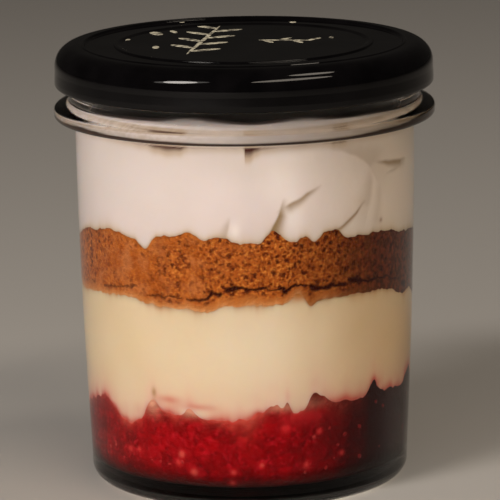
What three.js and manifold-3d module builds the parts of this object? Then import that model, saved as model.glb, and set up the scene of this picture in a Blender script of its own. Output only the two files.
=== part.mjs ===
// A raspberry cheesecake dessert, spooned in layers into a wide-mouthed preserving glass and closed with
// a black twist-off lid. From the bottom up: crushed raspberries, cheesecake cream, brown sponge cake
// and whipped cream, with a little air left under the lid.
// Millimetres, +Z up. The origin is the middle of the base, on the surface that the glass stands on.
// The side that is seen first faces -Y, and angles round the jar run from there towards +X.
import * as THREE from "three";
import { mergeVertices } from "three/addons/utils/BufferGeometryUtils.js";
import Module from "manifold-3d";

// Driving dimensions of the jar and its lid
const totalHeight = 100;
const lidRadius = 42.75;
const lidHeight = 9.5;
const lidWall = 0.95;
const ringRadius = 43.1;
const ringHeight = 84.4;
const shoulderRadius = 38.4;
const shoulderHeight = 82.2;
const footRadius = 36.2;
const footHeight = 4.4;
const wallThickness = 2.6;
const mouthRadius = 36.6;
const neckRadius = 39.7;
const rimHeight = 98.2;
const taperPower = 1.8;

// Clearances between pieces that touch in the real jar
const gap = 0.3;

// Fineness of the round pieces
const glassSegments = 60;
const foodSegments = 72;

const wasm = await Module();
wasm.setup();

const radians = THREE.MathUtils.degToRad;

// Points on a round stretch of a profile, angles in degrees from the outward direction upwards.
function arc(r, z, radius, from, to, steps) {
  return Array.from({ length: steps + 1 }, (_, i) => {
    const a = radians(from + ((to - from) * i) / steps);
    return [r + radius * Math.cos(a), z + radius * Math.sin(a)];
  });
}

// A profile of [radius, height] points turned round the jar's axis.
function turned(profile) {
  const points = profile.map(([r, z]) => new THREE.Vector2(Math.max(r, 0), z));
  return new THREE.LatheGeometry(points, glassSegments).rotateX(Math.PI / 2);
}

// A point at an angle round the jar (in degrees), a radius and a height.
function around(angle, r, z) {
  return [r * Math.sin(radians(angle)), -r * Math.cos(radians(angle)), z];
}

function geometryOf(corners, faces) {
  return new THREE.BufferGeometry()
    .setAttribute("position", new THREE.Float32BufferAttribute(corners.flat(), 3))
    .setIndex(faces.flat());
}

// Joins and cuts need the library's own solids, with shared corners merged.
function solid(geometry) {
  const bare = new THREE.BufferGeometry().setAttribute("position", geometry.getAttribute("position"));
  bare.setIndex(geometry.getIndex());
  const merged = mergeVertices(bare, 1e-4);
  const vertProperties = merged.getAttribute("position").array;
  const triVerts = new Uint32Array(merged.getIndex().array);
  return new wasm.Manifold(new wasm.Mesh({ numProp: 3, vertProperties, triVerts }));
}

function fromSolid(shape) {
  const { vertProperties, triVerts } = shape.getMesh();
  return new THREE.BufferGeometry()
    .setAttribute("position", new THREE.BufferAttribute(vertProperties, 3))
    .setIndex(new THREE.BufferAttribute(triVerts, 1));
}

// A bar through a row of sections, each a list of corners in the same order, closed at both ends.
function bar(sections) {
  const sides = sections[0].length;
  const faces = [];
  for (let s = 0; s + 1 < sections.length; s++) {
    for (let i = 0; i < sides; i++) {
      const a = s * sides + i;
      const b = s * sides + ((i + 1) % sides);
      faces.push([a, b, b + sides], [a, b + sides, a + sides]);
    }
  }
  const last = (sections.length - 1) * sides;
  for (let i = 1; i + 1 < sides; i++) {
    faces.push([0, i + 1, i], [last, last + i, last + i + 1]);
  }
  const made = solid(geometryOf(sections.flat(), faces));
  if (made.volume() > 0) {
    return made;
  }
  return solid(geometryOf(sections.flat(), faces.map(([a, b, c]) => [a, c, b])));
}

// The jar's outside narrows towards the foot, slowly at first. Its wall is the same thickness all the way.
function outerRadius(z) {
  const down = THREE.MathUtils.clamp((shoulderHeight - z) / (shoulderHeight - footHeight), 0, 1);
  return shoulderRadius - (shoulderRadius - footRadius) * down ** taperPower;
}

const innerCorner = 5;
const innerCornerTop = footHeight + innerCorner;

function innerRadius(z) {
  const wall = outerRadius(Math.max(z, innerCornerTop)) - wallThickness;
  const drop = THREE.MathUtils.clamp((innerCornerTop - z) / innerCorner, 0, 1);
  const neck = THREE.MathUtils.clamp((z - shoulderHeight) / (rimHeight - shoulderHeight), 0, 1);
  const cornerInset = innerCorner * (1 - Math.sqrt(1 - drop * drop));
  return wall - cornerInset + (mouthRadius - shoulderRadius + wallThickness) * neck;
}

// Glass: a foot with a shallow hollow under it, the tapered body, the ring under the lid, and the neck
function jarGlass() {
  const hollow = 1.2;
  const footInner = 28.5;
  const footCorner = 3.2;
  const footOuter = outerRadius(0) - footCorner;
  const outside = [
    [0, hollow],
    [footInner - 6, hollow],
    [footInner, 0],
    ...arc(footOuter, footCorner, footCorner, -90, 0, 3),
    ...[14, 32, 54].map((z) => [outerRadius(z), z]),
    [shoulderRadius, shoulderHeight],
    [shoulderRadius + 0.9, ringHeight - 1.1],
    [ringRadius - 0.7, ringHeight - 0.9],
    [ringRadius, ringHeight - 0.2],
    [ringRadius, ringHeight + 0.8],
    [ringRadius - 0.8, ringHeight + 1.6],
    [neckRadius, ringHeight + 2.8],
  ];
  const rim = (neckRadius - mouthRadius) / 2;
  const lip = arc(mouthRadius + rim, rimHeight - rim, rim, 0, 180, 4);
  const inside = [shoulderHeight, 55, 30, innerCornerTop].map((z) => [innerRadius(z), z]);
  const corner = arc(innerRadius(innerCornerTop) - innerCorner, innerCornerTop, innerCorner, -25, -90, 2);
  return solid(turned([...outside, ...lip, ...inside, ...corner, [0, footHeight]]));
}

const lugCount = 6;
const lugTop = rimHeight - 6.4;
const lugThickness = 1;

// A thread ridge on the neck, which falls as it runs round and fades out at both ends
function threadRidge(start) {
  const span = 46;
  const fall = 2;
  const steps = 5;
  const height = 1.2;
  const sections = Array.from({ length: steps + 1 }, (_, i) => {
    const t = i / steps;
    const crest = neckRadius + height * Math.min(1, 4 * Math.min(t, 1 - t) + 0.1);
    const z = lugTop + 1.7 + fall * (1 - t);
    const buried = neckRadius - 0.6;
    const section = [[buried, z - 1.1], [crest, z - 0.5], [crest, z + 0.5], [buried, z + 1.1]];
    return section.map(([r, height]) => around(start + span * t, r, height));
  });
  return bar(sections);
}

function glassJar() {
  let jar = jarGlass();
  for (let i = 0; i < lugCount; i++) {
    jar = jar.add(threadRidge((i * 360) / lugCount - 38));
  }
  return fromSolid(jar);
}

// Lid: pressed steel with a low bead on its sunk panel, a round shoulder, a straight skirt and a rolled hem
function lidShell() {
  const hem = totalHeight - lidHeight;
  const hemRadius = 0.75;
  const shoulder = 5;
  const panelRadius = 35.5;
  const panel = totalHeight - 0.6;
  const beadRadius = 29.5;
  const beadHeight = 0.35;
  const inner = lidRadius - lidWall;
  const ceiling = rimHeight + gap;
  const outside = [
    [0, panel],
    [beadRadius - 1, panel],
    [beadRadius, panel + beadHeight],
    [beadRadius + 1, panel],
    [panelRadius, panel],
    [panelRadius + 1.2, totalHeight],
    ...arc(lidRadius - shoulder, totalHeight - shoulder, shoulder, 90, 0, 4),
    [lidRadius, hem + 2.2 * hemRadius],
  ].reverse();
  const roll = arc(lidRadius - 0.6, hem + hemRadius, hemRadius, 10, -190, 4).reverse();
  const inside = [
    [0, ceiling],
    [inner - 2, ceiling],
    [inner - 0.5, ceiling - 1.5],
    [inner, ceiling - 3.5],
    [inner, hem + 2.2 * hemRadius],
  ];
  return solid(turned([...inside, ...roll, ...outside]));
}

// The hem is pressed inwards at each lug, which hooks under a thread ridge.
function lug(middle) {
  const halfWidth = 7;
  const steps = 4;
  const sections = Array.from({ length: steps + 1 }, (_, i) => {
    const angle = middle + halfWidth * ((2 * i) / steps - 1);
    const atEnd = i === 0 || i === steps;
    const tip = neckRadius + (atEnd ? 1.1 : 0.45);
    const root = lidRadius - 0.6;
    const under = lugTop - lugThickness;
    const section = [[tip, under], [tip, lugTop], [root, lugTop], [root, under]];
    return section.map(([r, z]) => around(angle, r, z));
  });
  return bar(sections);
}

function twistOffLid() {
  let lid = lidShell();
  for (let i = 0; i < lugCount; i++) {
    lid = lid.add(lug((i * 360) / lugCount));
  }
  return fromSolid(lid);
}

// Where one layer meets the next at the glass: a level with rises and dips,
// each [angle, height, half-width in degrees]. The far side gets more of them by a seeded rule.
const raspberryTop = {
  level: 21.5,
  bumps: [
    [-94.5, -5.3, 16], [-63, 1.3, 4.5], [-48.5, -3.8, 9.5], [-37, 3.8, 4], [-22, 2.1, 2.5], [-11, -1, 15.5],
    [7.5, 3.1, 5.5], [24, 3.6, 4.5], [32, 1.8, 12], [51, 3.2, 3], [57, 1.6, 16], [80.5, 3.7, 6.5],
  ],
  seed: 11,
  farHeight: 3.2,
};
const spongeBottom = {
  level: 46.8,
  bumps: [
    [-80, -1.4, 16], [-45, 0.6, 5], [-27, -1.2, 12], [-15, -1.2, 4], [17.5, 2.3, 2.5],
    [22.5, -0.8, 1.5], [37.5, 0.5, 15.5], [70.5, -2.7, 8.5], [89, -5.4, 9],
  ],
  seed: 5,
  farHeight: 1.6,
};
const spongeTop = {
  level: 60.4,
  bumps: [
    [-90, -4.1, 12], [-55, 1.2, 7], [-37.5, -2.2, 2.5], [-29, 1.4, 7], [-20, 2.4, 4.5], [-9.5, 2, 4.5],
    [5, -2.5, 3], [7.5, 3.7, 5.5], [20.5, 1.5, 2.5], [30, 3.2, 3.5], [69, -1.6, 9], [90, -3.6, 14.5],
  ],
  seed: 8,
  farHeight: 1.8,
};
const creamTop = {
  level: 88,
  bumps: [[-62, -0.7, 10], [-17, 0.7, 9], [3, -0.5, 6], [18, 0.3, 7], [42, -0.5, 8], [68, -0.4, 10]],
  seed: 3,
  farHeight: 0.9,
};

// A repeatable row of numbers from 0 to 1
function seeded(seed) {
  let state = seed;
  return () => {
    state = (state * 16807) % 2147483647;
    return state / 2147483647;
  };
}

for (const boundary of [raspberryTop, spongeBottom, spongeTop, creamTop]) {
  const draw = seeded(boundary.seed * 7919);
  const farFrom = 100;
  const farTo = 262;
  const farBumps = 11;
  for (let i = 0; i < farBumps; i++) {
    const angle = farFrom + ((farTo - farFrom) * (i + 0.2 + 0.6 * draw())) / farBumps;
    const height = boundary.farHeight * (2 * draw() - 1);
    const halfWidth = 4 + 5 * draw();
    boundary.bumps.push([angle > 180 ? angle - 360 : angle, height, halfWidth]);
  }
}

// Height of a boundary at an angle, at a share of the way from the axis to the glass.
// It keeps its rises and dips near the glass and evens out towards the middle.
function boundaryHeight({ level, bumps }, angle, share) {
  let height = 0;
  for (const [at, rise, halfWidth] of bumps) {
    const away = ((angle - at + 540) % 360) - 180;
    height += rise * Math.exp(-((away / halfWidth) ** 2));
  }
  return level + height * share ** 3;
}

// The whipped cream's own top: it climbs up the glass, and inside that edge it lies in soft spooned waves.
function creamSurface(angle, share) {
  const edge = boundaryHeight(creamTop, angle, share);
  const turn = radians(angle);
  const waves = 1.1 * Math.sin(3 * turn + 5 * share) + 0.7 * Math.sin(5 * turn - 7 * share + 1);
  const climb = 2.2;
  return edge - climb * (1 - share ** 6) + waves * share * (1 - share * share) * 2;
}

// Lumps and hollows of the layers' sides, as depths in from the glass
const deepestRelief = 0.8;
const sideRelief = {
  raspberry: (angle, z) => {
    const turn = radians(angle);
    return 0.4 + 0.4 * Math.sin(29 * turn + 1.7 * z) * Math.sin(19 * turn - 1.3 * z + 1);
  },
  sponge: (angle, z) => {
    const turn = radians(angle);
    return 0.3 + 0.3 * Math.sin(23 * turn + 1.9 * z) * Math.sin(31 * turn - 1.1 * z);
  },
  smooth: (angle, z) => 0.08 + 0.08 * Math.sin(3 * radians(angle) + 0.2 * z),
};

// Faces between two closed rings of corners, where one may have twice as many as the other
function join(faces, a, aCount, b, bCount) {
  for (let i = 0; i < Math.min(aCount, bCount); i++) {
    const next = (i + 1) % Math.min(aCount, bCount);
    if (aCount === bCount) {
      faces.push([a + i, a + next, b + next], [a + i, b + next, b + i]);
    } else if (aCount > bCount) {
      const [left, middle, right] = [2 * i, 2 * i + 1, (2 * i + 2) % aCount];
      faces.push([a + left, a + middle, b + i], [a + middle, b + next, b + i]);
      faces.push([a + middle, a + right, b + next]);
    } else {
      const [left, middle, right] = [2 * i, 2 * i + 1, (2 * i + 2) % bCount];
      faces.push([a + i, b + middle, b + left], [a + i, a + next, b + middle]);
      faces.push([a + next, b + right, b + middle]);
    }
  }
}

// A round layer: rings of corners from the middle of its underside, up its side, to the middle of its top.
// bottom and top give a height for an angle and a share of the radius, relief a depth in from the glass.
function layer({ bottom, top, relief, rows, topShares = [0.9, 0.5], bottomShares = [0.9, 0.5] }) {
  const corners = [];
  const rings = [];
  const addRing = (count, point) => {
    rings.push([corners.length, count]);
    for (let i = 0; i < count; i++) {
      corners.push(point((i * 360) / count));
    }
  };
  const addCap = (height, share) => {
    addRing(share < 0.7 ? foodSegments / 2 : foodSegments, (angle) => {
      const edge = innerRadius(height(angle, 1)) - gap - deepestRelief;
      return around(angle, edge * share, height(angle, share));
    });
  };
  const centre = (height) => [0, 0, height(0, 0)];
  for (const share of [...bottomShares].reverse()) {
    addCap(bottom, share);
  }
  for (let row = 0; row <= rows; row++) {
    addRing(foodSegments, (angle) => {
      const z = THREE.MathUtils.lerp(bottom(angle, 1), top(angle, 1), row / rows);
      return around(angle, innerRadius(z) - gap - relief(angle, z), z);
    });
  }
  for (const share of topShares) {
    addCap(top, share);
  }
  const faces = [];
  for (let r = 0; r + 1 < rings.length; r++) {
    join(faces, ...rings[r], ...rings[r + 1]);
  }
  const [firstStart, firstCount] = rings[0];
  const [lastStart, lastCount] = rings[rings.length - 1];
  const low = corners.push(centre(bottom)) - 1;
  const high = corners.push(centre(top)) - 1;
  for (let i = 0; i < firstCount; i++) {
    faces.push([low, firstStart + ((i + 1) % firstCount), firstStart + i]);
  }
  for (let i = 0; i < lastCount; i++) {
    faces.push([high, lastStart + i, lastStart + ((i + 1) % lastCount)]);
  }
  return geometryOf(corners, faces);
}

const above = (boundary) => (angle, share) => boundaryHeight(boundary, angle, share) + gap / 2;
const below = (boundary) => (angle, share) => boundaryHeight(boundary, angle, share) - gap / 2;

// A groove along a line on a layer's side, given by [angle, height] points, with fading ends
function groove(line, halfWidth, depth) {
  const curve = new THREE.CatmullRomCurve3(line.map(([angle, z]) => new THREE.Vector3(angle, z, 0)));
  const steps = Math.max(4, Math.round(curve.getLength() / 5));
  const sections = Array.from({ length: steps + 1 }, (_, i) => {
    const t = i / steps;
    const fade = Math.min(1, 5 * Math.min(t, 1 - t) + 0.25);
    const { x: angle, y: z } = curve.getPointAt(t);
    const along = curve.getTangentAt(t);
    const mmPerDegree = radians(innerRadius(z));
    const run = Math.hypot(along.x * mmPerDegree, along.y);
    const across = [-along.y / run / mmPerDegree, (along.x * mmPerDegree) / run];
    const mouth = innerRadius(z);
    const floor = mouth - gap - depth * fade;
    const corner = (side, r) => {
      const away = side * halfWidth * fade;
      return around(angle + across[0] * away, r, z + across[1] * away);
    };
    return [corner(-1, mouth), corner(1, mouth), corner(0.5, floor), corner(-0.5, floor)];
  });
  return bar(sections);
}

// The cream was spread in broad strokes, and where two strokes meet it leaves a fold against the glass.
const creamFolds = [
  [[6.8, 62.3], [8.9, 64.5], [11, 66.8], [12.6, 68.5], [17.3, 69.5], [21, 71], [29, 73]],
  [[33, 62.3], [39, 64.5], [44, 67.3], [47.5, 68.5], [48.8, 71], [48.3, 74.3], [46, 76], [41, 78.3]],
  [[49, 75.8], [54, 75.5], [61, 75], [69, 74]],
  [[-12, 63], [-9.4, 64.3], [-7.3, 65.5], [-5, 66.3]],
  [[150, 64], [158, 68], [161, 73], [156, 78]],
  [[-112, 65], [-118, 69], [-128, 72], [-140, 73]],
];

// Just under the ring it leaves a few gaps against the glass.
const creamGaps = [
  [[-50, 81.9], [-39, 81.3], [-29, 80.2], [-22, 81], [-15, 81.7]],
  [[1.5, 82.4], [2, 80], [6, 81.1], [11, 81.6]],
  [[26, 81], [31.5, 80.5], [35, 81.2]],
];

// The sponge's damp underside has parted from the crumb above it.
const spongeCracks = [
  [[-59, 47.5], [-50, 48.4], [-42, 49.4]],
  [[-36, 47.8], [-24, 47.1], [-16, 47.4], [-12, 48.8], [-6, 50]],
  [[-1, 50.1], [10, 50.2], [13.5, 49.3], [25, 49.5], [37, 50.2], [46, 49.1], [58, 48.9], [72, 48]],
  [[112, 48.6], [124, 49.6], [141, 48.8], [152, 49.8]],
  [[-160, 49.4], [-142, 48.8], [-121, 49.6]],
];

function grooved(geometry, lines, halfWidth, depth) {
  let shape = solid(geometry);
  for (const line of lines) {
    shape = shape.subtract(groove(line, halfWidth, depth));
  }
  return fromSolid(shape);
}

// The raspberries rest on the glass and are cut off at a slant where its inner corner begins.
function raspberryLayer() {
  const floor = footHeight + gap;
  const slant = 1.4;
  const bottom = (angle, share) => (share === 1 ? floor + slant : floor);
  return layer({ bottom, top: below(raspberryTop), relief: sideRelief.raspberry, rows: 7 });
}

function cheesecakeLayer() {
  const [bottom, top] = [above(raspberryTop), below(spongeBottom)];
  return layer({ bottom, top, relief: sideRelief.smooth, rows: 3 });
}

function spongeLayer() {
  const [bottom, top] = [above(spongeBottom), below(spongeTop)];
  const crackHalfWidth = 0.45;
  const crackDepth = 1.3;
  const cake = layer({ bottom, top, relief: sideRelief.sponge, rows: 6 });
  return grooved(cake, spongeCracks, crackHalfWidth, crackDepth);
}

function whippedCreamLayer() {
  const bottom = above(spongeTop);
  const topShares = [0.92, 0.76, 0.55, 0.3];
  const [foldHalfWidth, foldDepth] = [0.55, 1];
  const [gapHalfWidth, gapDepth] = [0.6, 1.6];
  const relief = sideRelief.smooth;
  const cream = layer({ bottom, top: creamSurface, relief, rows: 5, topShares });
  const folded = grooved(cream, creamFolds, foldHalfWidth, foldDepth);
  return grooved(folded, creamGaps, gapHalfWidth, gapDepth);
}

function piece(name, geometry, color, roughness, extra = {}) {
  const mesh = new THREE.Mesh(geometry, new THREE.MeshStandardMaterial({ color, roughness, ...extra }));
  mesh.name = name;
  return mesh;
}

const jarOfCheesecake = new THREE.Group();
const contents = new THREE.Group();
contents.add(
  piece("raspberries", raspberryLayer(), 0x8e060f, 0.35),
  piece("cheesecake_cream", cheesecakeLayer(), 0xe8c8a6, 0.5),
  piece("sponge_cake", spongeLayer(), 0xa85a24, 0.9),
  piece("whipped_cream", whippedCreamLayer(), 0xe8dcd0, 0.5),
);
jarOfCheesecake.add(
  piece("glass_jar", glassJar(), 0xf2f7f5, 0.03, { transparent: true, opacity: 0.3 }),
  contents,
  piece("lid", twistOffLid(), 0x0e0b0e, 0.25, { metalness: 0.2 }),
);

export default jarOfCheesecake;
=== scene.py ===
import bpy
import numpy as np
from mathutils import Matrix, Vector


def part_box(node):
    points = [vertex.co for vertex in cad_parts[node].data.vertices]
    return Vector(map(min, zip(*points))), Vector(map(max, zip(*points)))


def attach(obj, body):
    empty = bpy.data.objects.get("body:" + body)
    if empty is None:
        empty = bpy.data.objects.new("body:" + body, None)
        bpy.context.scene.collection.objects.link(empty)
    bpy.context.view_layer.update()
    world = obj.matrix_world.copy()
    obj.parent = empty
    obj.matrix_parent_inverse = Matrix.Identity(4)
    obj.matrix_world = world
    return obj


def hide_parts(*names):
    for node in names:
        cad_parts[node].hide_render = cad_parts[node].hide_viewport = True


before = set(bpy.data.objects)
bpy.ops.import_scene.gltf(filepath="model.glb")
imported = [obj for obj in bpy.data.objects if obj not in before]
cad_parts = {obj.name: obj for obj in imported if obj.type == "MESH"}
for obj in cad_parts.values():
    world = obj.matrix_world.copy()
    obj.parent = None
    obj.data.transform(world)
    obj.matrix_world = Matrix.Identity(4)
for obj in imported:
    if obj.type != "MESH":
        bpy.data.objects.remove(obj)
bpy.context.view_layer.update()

# Glass jar
# A pressed glass preserving jar with straight sides that narrow a little towards the foot. A rounded ring
# stands out below the neck, the neck carries six thread ridges for the lid, and the foot is hollow beneath.

mm = 0.001
_, jar_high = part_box("glass_jar")
ring_radius = jar_high.x
rim_height = jar_high.z
ring_height = rim_height - 13.8 * mm
ring_low_edge = ring_height - 0.95 * mm
ring_top_edge = ring_height + 1.4 * mm
neck_foot = ring_height + 2.9 * mm
straight_neck = ring_height + 4 * mm
shoulder_radius = ring_radius - 4.7 * mm
shoulder_height = ring_height - 2.2 * mm
neck_radius = ring_radius - 3.4 * mm
mouth_radius = neck_radius - 3.1 * mm
under_rim = rim_height - 1.6 * mm
rim_rounding = 1.5 * mm
foot_radius = shoulder_radius - 2.2 * mm
foot_height = 4.4 * mm
hollow = 1.2 * mm
hollow_radius = 22.5 * mm
standing_radius = 28.5 * mm
wall = 2.6 * mm
taper_power = 1.8
inner_corner = 5 * mm
inner_corner_top = foot_height + inner_corner
near_axis = 0.5 * mm


def limited(value):
    """A value held between 0 and 1."""
    return np.clip(value, 0, 1)


def outer_radius(height):
    """The jar's outside: widest at the shoulder, in by a power of the share of the way down from there."""
    down = limited((shoulder_height - height) / (shoulder_height - foot_height))
    return shoulder_radius - (shoulder_radius - foot_radius) * down**taper_power


def inner_radius(height):
    """The jar's inside: the outside less the wall, in by a quarter circle at the floor, and out a little
    towards the rim."""
    body = outer_radius(np.maximum(height, inner_corner_top)) - wall
    drop = limited((inner_corner_top - height) / inner_corner)
    neck = limited((height - shoulder_height) / (rim_height - shoulder_height))
    widening = mouth_radius - shoulder_radius + wall
    return body - inner_corner * (1 - np.sqrt(1 - drop**2)) + widening * neck


def rounded(corners, steps=8):
    """An outline through corners of (radius, height, rounding). Each rounding is an arc that touches both
    sides of its corner, at rounding times the tangent of half the turn away from it."""
    nearly_straight = 1e-4
    corners = np.array(corners, float)
    points = [corners[0, :2]]
    for before, corner, after in zip(corners, corners[1:], corners[2:]):
        here, rounding = corner[:2], corner[2]
        back = (before[:2] - here) / np.linalg.norm(before[:2] - here)
        on = (after[:2] - here) / np.linalg.norm(after[:2] - here)
        half_turn = np.arccos(np.clip(-back @ on, -1, 1)) / 2
        if rounding == 0 or half_turn < nearly_straight:
            points.append(here)
            continue
        middle = here + (back + on) / np.linalg.norm(back + on) * rounding / np.cos(half_turn)
        start = here + back * rounding * np.tan(half_turn) - middle
        end = here + on * rounding * np.tan(half_turn) - middle
        share = np.linspace(0, 1, steps + 1)[:, None]
        along = np.sin((1 - share) * 2 * half_turn) * start + np.sin(share * 2 * half_turn) * end
        points.extend(middle + along / np.sin(2 * half_turn))
    return np.array([*points, corners[-1, :2]])


def angles_round(columns):
    """The angles in degrees of evenly spaced columns round the jar."""
    return np.arange(columns) * 360 / columns


def around(angle, radius, height):
    """Points at an angle in degrees round the jar, counted from its front (-Y) towards +X."""
    turn = np.radians(angle)
    return np.stack(np.broadcast_arrays(radius * np.sin(turn), -radius * np.cos(turn), height), -1)


def turned_from(angle, start):
    """An angle seen from another one, from -180 to 180 degrees."""
    return (angle - start + 180) % 360 - 180


def bell(angle, middle, half_width):
    """e to the power of minus the square of how many half widths an angle lies from the middle one."""
    return np.exp(-((turned_from(angle, middle) / half_width) ** 2))


def lattice(angle, height, size):
    """A lattice of cells about size wide that closes on itself round the jar and reaches past the lid. Gives
    how far across and up its cell each point lies, a function for the row and column of the cell some steps
    up and over from it, and how many rows and columns there are."""
    tall, rows_below, rows_more = 110 * mm, 2, 6
    rows, columns = int(tall / size) + rows_more, int(round(2 * np.pi * mouth_radius / size))
    x, y = (angle % 360) / 360 * columns, height / size + rows_below
    column, row = np.floor(x).astype(int), np.floor(y).astype(int)

    def cell(up, over):
        return (row + up) % rows, (column + over) % columns

    return x - column, y - row, cell, (rows, columns)


def waves(angle, height, size, seed):
    """Smooth unevenness from -1 to 1: random values on a lattice, eased from each to its neighbours."""
    x, y, cell, shape = lattice(angle, height, size)
    values = np.random.default_rng(seed).uniform(-1, 1, shape)
    ease_x, ease_y = [part * part * (3 - 2 * part) for part in (x, y)]
    low, high = [values[cell(up, 0)] * (1 - ease_x) + values[cell(up, 1)] * ease_x for up in (0, 1)]
    return low * (1 - ease_y) + high * ease_y


def eased(angle, points):
    """A smooth line through (angle, value) points that closes round the jar, eased from each point to the
    next."""
    points = np.array(points, float)
    starts = np.append((points[:, 0] - points[0, 0]) % 360, 360)
    values = np.append(points[:, 1], points[0, 1])
    past = (angle - points[0, 0]) % 360
    stretch = np.clip(np.searchsorted(starts, past, side="right") - 1, 0, len(points) - 1)
    share = (past - starts[stretch]) / (starts[stretch + 1] - starts[stretch])
    return values[stretch] + (values[stretch + 1] - values[stretch]) * share * share * (3 - 2 * share)


def placed(name, data):
    """A new object in the scene, at the origin."""
    made = bpy.data.objects.new(name, data)
    bpy.context.scene.collection.objects.link(made)
    return made


def skins(name, rings, poles):
    """Closed skins over an array of shapes x rings x points x 3. In each shape a point joins the next one
    round its ring and the one beside it in the next ring, and a fan closes each end on one of its poles."""
    shapes, rows, columns = rings.shape[:3]
    here = np.arange(rows * columns).reshape(rows, columns)
    beside = np.roll(here, -1, axis=1)
    quads = np.stack([here[:-1], beside[:-1], beside[1:], here[1:]], -1).reshape(-1, 4)
    low, high = rows * columns, rows * columns + 1
    low_fan = np.stack([np.full(columns, low), beside[0], here[0]], -1)
    high_fan = np.stack([here[-1], beside[-1], np.full(columns, high)], -1)
    points = np.concatenate([rings.reshape(shapes, -1, 3), poles], 1)
    offsets = np.arange(shapes)[:, None, None] * points.shape[1]
    fans = np.concatenate([low_fan, high_fan])
    faces = (quads + offsets).reshape(-1, 4).tolist() + (fans + offsets).reshape(-1, 3).tolist()
    mesh = bpy.data.meshes.new(name)
    mesh.from_pydata(points.reshape(-1, 3), [], faces)
    mesh.polygons.foreach_set("use_smooth", np.ones(len(mesh.polygons), bool))
    return placed(name, mesh)


def skin(name, rings, first_pole, last_pole):
    """One closed skin round the jar's axis, whose poles are given as heights on it."""
    return skins(name, rings[None], [[[0, 0, first_pole], [0, 0, last_pole]]])


def thread_ridges(angle, height):
    """How far the thread stands out: six ridges that fall as they run round, each with a round section, and
    faded out at both ends."""
    count, first_start, span = 6, -38, 46
    fall, stand_out, half_height = 2 * mm, 1.2 * mm, 1.1 * mm
    top = rim_height - 2.7 * mm
    along = ((angle - first_start) % (360 / count)) / span
    middle = top - fall * limited(along)
    fade = limited(5 * np.minimum(along, 1 - along))
    across = limited(1 - ((height - middle) / half_height) ** 2)
    return stand_out * across * fade * (along < 1)


body_heights = np.linspace(6 * mm, shoulder_height - 1.5 * mm, 26)
ring_face_heights = ring_height + np.array([-0.1, 0.15, 0.4]) * mm
# Points along the middle of the slope between the ring and the neck.
ring_slope = np.linspace([ring_radius, ring_top_edge, 0], [neck_radius, neck_foot, 0], 11)[3:8]
outside = rounded([
    (near_axis, hollow, 0),
    (hollow_radius, hollow, 3 * mm),
    (standing_radius, 0, 1 * mm),
    (outer_radius(0), 0, 3.4 * mm),
    *[(outer_radius(height), height, 0) for height in body_heights],
    (shoulder_radius, ring_low_edge - 0.3 * mm, 0.8 * mm),
    (ring_radius, ring_low_edge, 0.75 * mm),
    *[(ring_radius, height, 0) for height in ring_face_heights],
    (ring_radius, ring_top_edge, 1 * mm),
    *ring_slope,
    (neck_radius, neck_foot, 0.9 * mm),
    (neck_radius, straight_neck, 0),
])
neck_heights = np.linspace(straight_neck + 0.2 * mm, under_rim - 0.1 * mm, 40)
neck = np.stack([np.full(len(neck_heights), neck_radius), neck_heights], -1)
rim = rounded([
    (neck_radius, under_rim, 0),
    (neck_radius, rim_height, rim_rounding),
    (mouth_radius, rim_height, rim_rounding),
    (mouth_radius, under_rim, 0),
])
wall_heights = np.linspace(rim_height - 3 * mm, inner_corner_top, 34)
corner_heights = inner_corner_top - inner_corner * np.sin(np.linspace(0.1, np.pi / 2, 12))
inner_heights = np.append(wall_heights, corner_heights)
inside = np.stack([inner_radius(inner_heights), inner_heights], -1)
outline = np.concatenate([outside, neck, rim, inside, [[near_axis, foot_height]]])
glass_angle = angles_round(480)
radius, height = outline[:, :1], outline[:, 1:]
on_neck = (np.arange(len(outline)) < len(outside) + len(neck))[:, None] & (height > straight_neck)
radius = radius + np.where(on_neck, thread_ridges(glass_angle, height), 0)
jar = skin("glass_jar_body", around(glass_angle, radius, height), hollow, foot_height)


def keep(piece, **numbers):
    """Keeps numbers for a piece's points under names that its material reads. Points at the end that are
    given none, such as a skin's poles, get 0."""
    for name, values in numbers.items():
        attribute = piece.data.attributes.new(name, "FLOAT", "POINT")
        padding = len(attribute.data) - np.size(values)
        attribute.data.foreach_set("value", np.pad(np.ravel(values), (0, padding)).astype(np.float32))


def feed(tree, inputs, values):
    """Gives a node's inputs, by their names or places, each a value, or a socket to take it from."""
    for name, value in values.items():
        if isinstance(value, bpy.types.NodeSocket):
            tree.links.new(value, inputs[name])
        elif inputs[name].type == "RGBA":
            inputs[name].default_value = (*value, 1)
        else:
            inputs[name].default_value = value


def node(tree, kind, inputs, output=0, operation=None):
    """A new node with its fed inputs, and with an operation if it has one. Gives back an output socket."""
    made = tree.nodes.new(kind)
    if operation:
        made.operation = operation
    feed(tree, made.inputs, inputs)
    return made.outputs[output]


def set_shader(tree, values):
    """Feeds a material's Principled shader."""
    feed(tree, tree.nodes["Principled BSDF"].inputs, values)


def new_finish(piece, name, colour, roughness, shine=0.5):
    """Gives a piece a material with a Principled shader. Gives back its node tree."""
    material = bpy.data.materials.new(name)
    material.use_nodes = True
    piece.data.materials.append(material)
    tree = material.node_tree
    set_shader(tree, {"Base Color": colour, "Roughness": roughness, "Specular IOR Level": shine})
    return tree


def cloud(tree, size, detail=2, low=0.35, high=0.65):
    """Soft blotches about size across, as a number from 0 to 1 over the piece."""
    where = node(tree, "ShaderNodeTexCoord", {}, "Object")
    noise = node(tree, "ShaderNodeTexNoise", {"Vector": where, "Scale": 1 / size, "Detail": detail})
    return node(tree, "ShaderNodeMapRange", {"Value": noise, "From Min": low, "From Max": high})


def bumped(tree, pattern, depth):
    """Lets a pattern from 0 to 1 stand out of the surface by depth."""
    set_shader(tree, {"Normal": node(tree, "ShaderNodeBump", {"Height": pattern, "Distance": depth})})


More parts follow.
